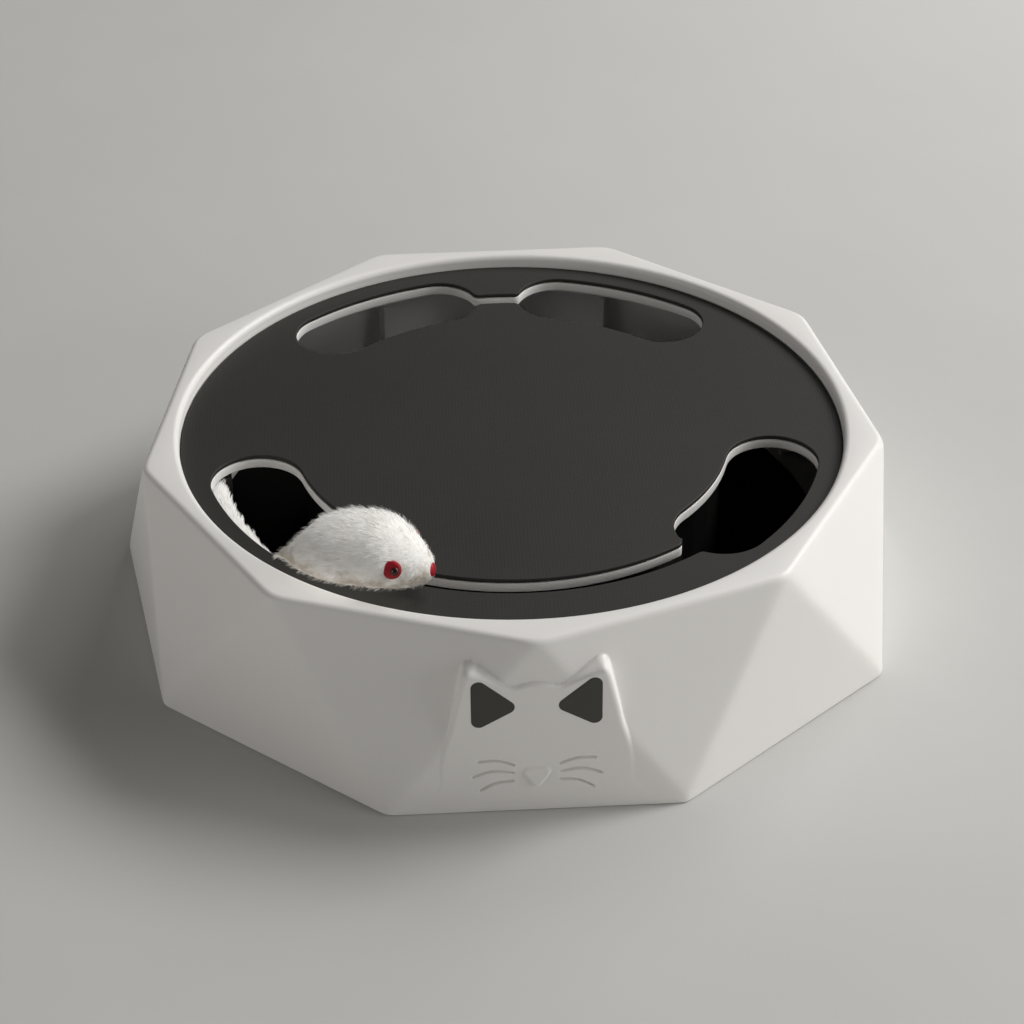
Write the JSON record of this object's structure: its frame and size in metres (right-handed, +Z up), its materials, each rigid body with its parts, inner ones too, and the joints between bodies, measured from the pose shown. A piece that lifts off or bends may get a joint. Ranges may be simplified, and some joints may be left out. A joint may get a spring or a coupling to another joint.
{
  "type": "cat turntable toy",
  "caption": "Faceted round cat toy: a plush mouse rides a geared turntable by its tail, along a curved slot and paw holes in a flat deck.",
  "frame": {"origin": "on the turntable's axis, on the underside of the centre foot, so z = 0 is the surface the toy stands on", "axes": "+Z up along the turntable's axis; -Y is the front, with the cat's head relief and the long slot; +X is to the right seen from the front"},
  "size_m": [0.2802, 0.2762, 0.0855],
  "materials": {
    "white_plastic": "satin moulded",
    "grey_plastic": "matt moulded",
    "dark_mat": "fine woven texture",
    "dark_inlay": "matt",
    "black_plastic": "matt moulded",
    "natural_nylon": "matt moulded",
    "brass": "machined",
    "steel": "plated",
    "spring_steel": "nickel plated",
    "foot_rubber": "matt",
    "cell_jacket": "printed sleeve without print",
    "board_laminate": "solder mask",
    "white_fur": "long plush pile",
    "red_felt": "felt",
    "dark_bead": "polished"
  },
  "bodies": {
    "base": {"housing": "white_plastic", "ear_inlay_left": "dark_inlay", "ear_inlay_right": "dark_inlay", "deck_plate": "white_plastic", "deck_mat": "dark_mat", "deck_screw": "steel", "slot_guard": "black_plastic", "base_plate": "grey_plastic", "foot_1": "foot_rubber", "foot_2": "foot_rubber", "foot_3": "foot_rubber", "foot_4": "foot_rubber", "foot_5": "foot_rubber", "foot_6": "foot_rubber", "foot_7": "foot_rubber", "gear_case_tub": "grey_plastic", "motor_plate": "grey_plastic", "gear_case_cover": "grey_plastic", "motor_can": "steel", "motor_end_cap": "black_plastic", "axle_a": "steel", "axle_b": "steel", "thrust_washer": "natural_nylon", "battery_cell_1": "cell_jacket", "battery_cell_2": "cell_jacket", "battery_cell_3": "cell_jacket", "flat_contact_1": "spring_steel", "flat_contact_2": "spring_steel", "flat_contact_3": "spring_steel", "spring_contact_1": "spring_steel", "spring_contact_2": "spring_steel", "spring_contact_3": "spring_steel", "control_board": "board_laminate", "switch_body": "black_plastic"},
    "turntable": {"turntable_drum": "black_plastic", "track_floor": "black_plastic", "drive_gear": "natural_nylon", "tail_post": "black_plastic", "clamp_screw": "steel", "tail_wire": "spring_steel", "mouse_tail": "white_fur", "mouse_body": "white_fur", "mouse_eye_left": "red_felt", "mouse_eye_right": "red_felt", "mouse_pupil_left": "dark_bead", "mouse_pupil_right": "dark_bead", "mouse_nose": "red_felt"},
    "gear_b": {"gear_b": "natural_nylon"},
    "gear_a": {"gear_a": "natural_nylon"},
    "motor_rotor": {"motor_pinion": "brass", "motor_shaft": "steel"},
    "battery_door": {"battery_door": "grey_plastic"},
    "switch_slider": {"switch_slider": "black_plastic"}
  },
  "joints": [
    {"name": "turntable_spin", "type": "hinge", "parent": "base", "child": "turntable", "pos_m": [0, 0, 0], "axis": [0, 0, 1], "range_deg": [-46, 106]},
    {"name": "gear_b_spin", "type": "hinge", "parent": "base", "child": "gear_b", "pos_m": [-0.02949, -0.02065, 0], "axis": [0, 0, 1], "range_deg": [-531, 231]},
    {"name": "gear_a_spin", "type": "hinge", "parent": "base", "child": "gear_a", "pos_m": [-0.01136, -0.0291, 0], "axis": [0, 0, 1], "range_deg": [-921, 2121]},
    {"name": "motor_spin", "type": "hinge", "parent": "base", "child": "motor_rotor", "pos_m": [0.00833, -0.02563, 0], "axis": [0, 0, 1], "range_deg": [-8481, 3681]},
    {"name": "battery_door_hinge", "type": "hinge", "parent": "base", "child": "battery_door", "pos_m": [0, 0.0135, 0.0019], "axis": [-1, 0, 0], "range_deg": [0, 100]},
    {"name": "switch_slide", "type": "slide", "parent": "base", "child": "switch_slider", "axis": [1, 0, 0], "range_m": [0, 0.004]}
  ],
  "couplings": [
    {"joint": "gear_b_spin", "follows": "turntable_spin", "ratio": -5},
    {"joint": "gear_a_spin", "follows": "turntable_spin", "ratio": 20},
    {"joint": "motor_spin", "follows": "turntable_spin", "ratio": -80}
  ]
}
